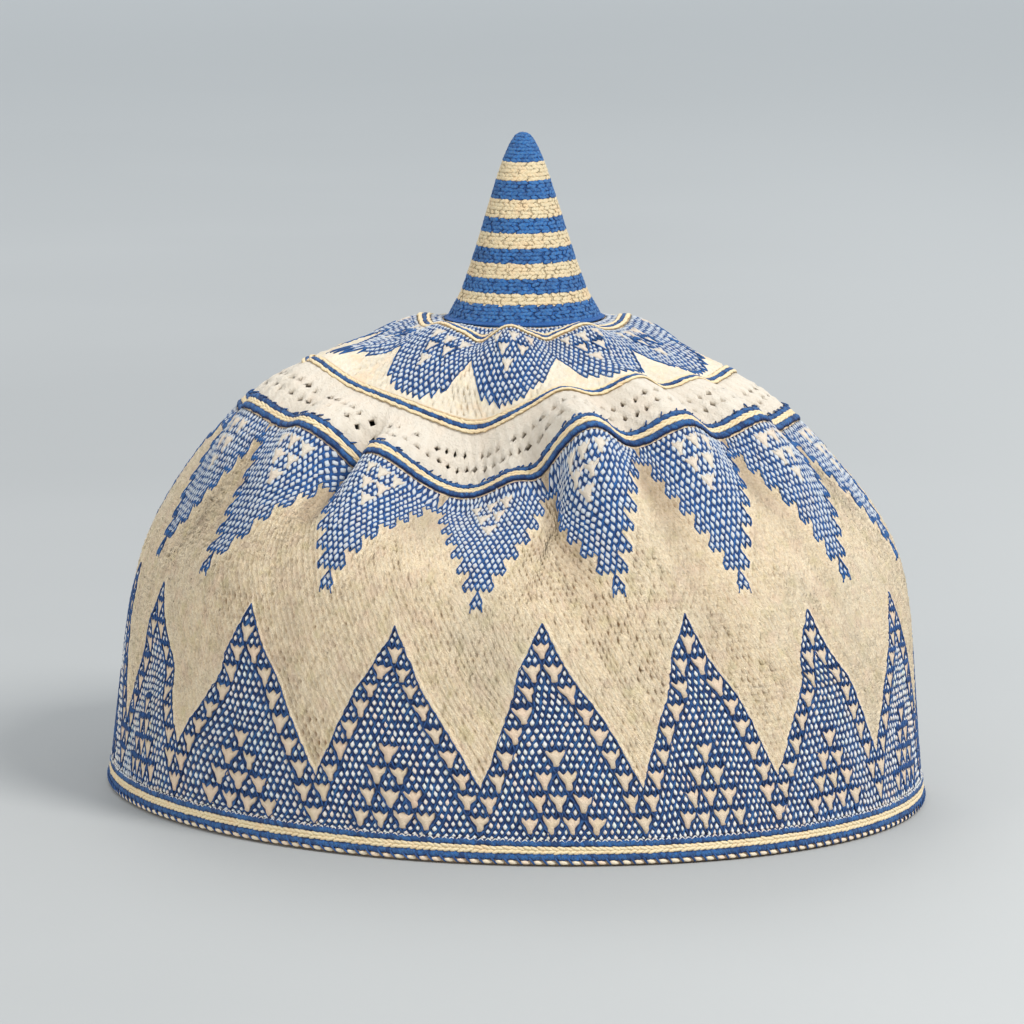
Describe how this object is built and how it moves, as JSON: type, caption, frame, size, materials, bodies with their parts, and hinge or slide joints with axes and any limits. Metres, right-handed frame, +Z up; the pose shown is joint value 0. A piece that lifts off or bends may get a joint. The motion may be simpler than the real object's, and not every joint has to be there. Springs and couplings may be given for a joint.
{
  "type": "muslim prayer cap",
  "caption": "Crocheted cotton prayer cap: an oval domed cap with blue netted points, soft shoulder folds, an openwork band and a striped hollow finial.",
  "frame": {"origin": "middle of the hem, on the surface that the cap stands on", "axes": "+Z up through the crown; the cap is long along Y, from the forehead at -Y to the back of the head at +Y; +X to one side"},
  "size_m": [0.1672, 0.1994, 0.1471],
  "materials": {
    "wall_cotton": "crocheted cotton, natural ground with blue netted figures",
    "edge_cotton": "overcast cotton edge, natural with slanting blue stitches",
    "blue_cord": "raised cord of blue cotton",
    "cream_cord": "raised cord of cream cotton",
    "openwork_cotton": "off-white cotton openwork",
    "stripe_cotton": "thin cream, blue and cream stripe",
    "crown_cotton": "crocheted cotton, blue netted petals on a natural ground",
    "finial_cotton": "crocheted cotton in blue and cream rounds"
  },
  "bodies": {
    "root": {"hem_edge": "edge_cotton", "hem_cord_low": "blue_cord", "hem_cord_middle": "cream_cord", "hem_cord_high": "blue_cord", "side_wall": "wall_cotton", "shoulder_cord_low": "blue_cord", "shoulder_cord_middle": "cream_cord", "shoulder_cord_high": "blue_cord", "openwork_band": "openwork_cotton", "upper_stripe": "stripe_cotton", "crown_top": "crown_cotton", "crown_stripe": "stripe_cotton", "crown_ring": "crown_cotton", "finial": "finial_cotton"}
  },
  "joints": []
}
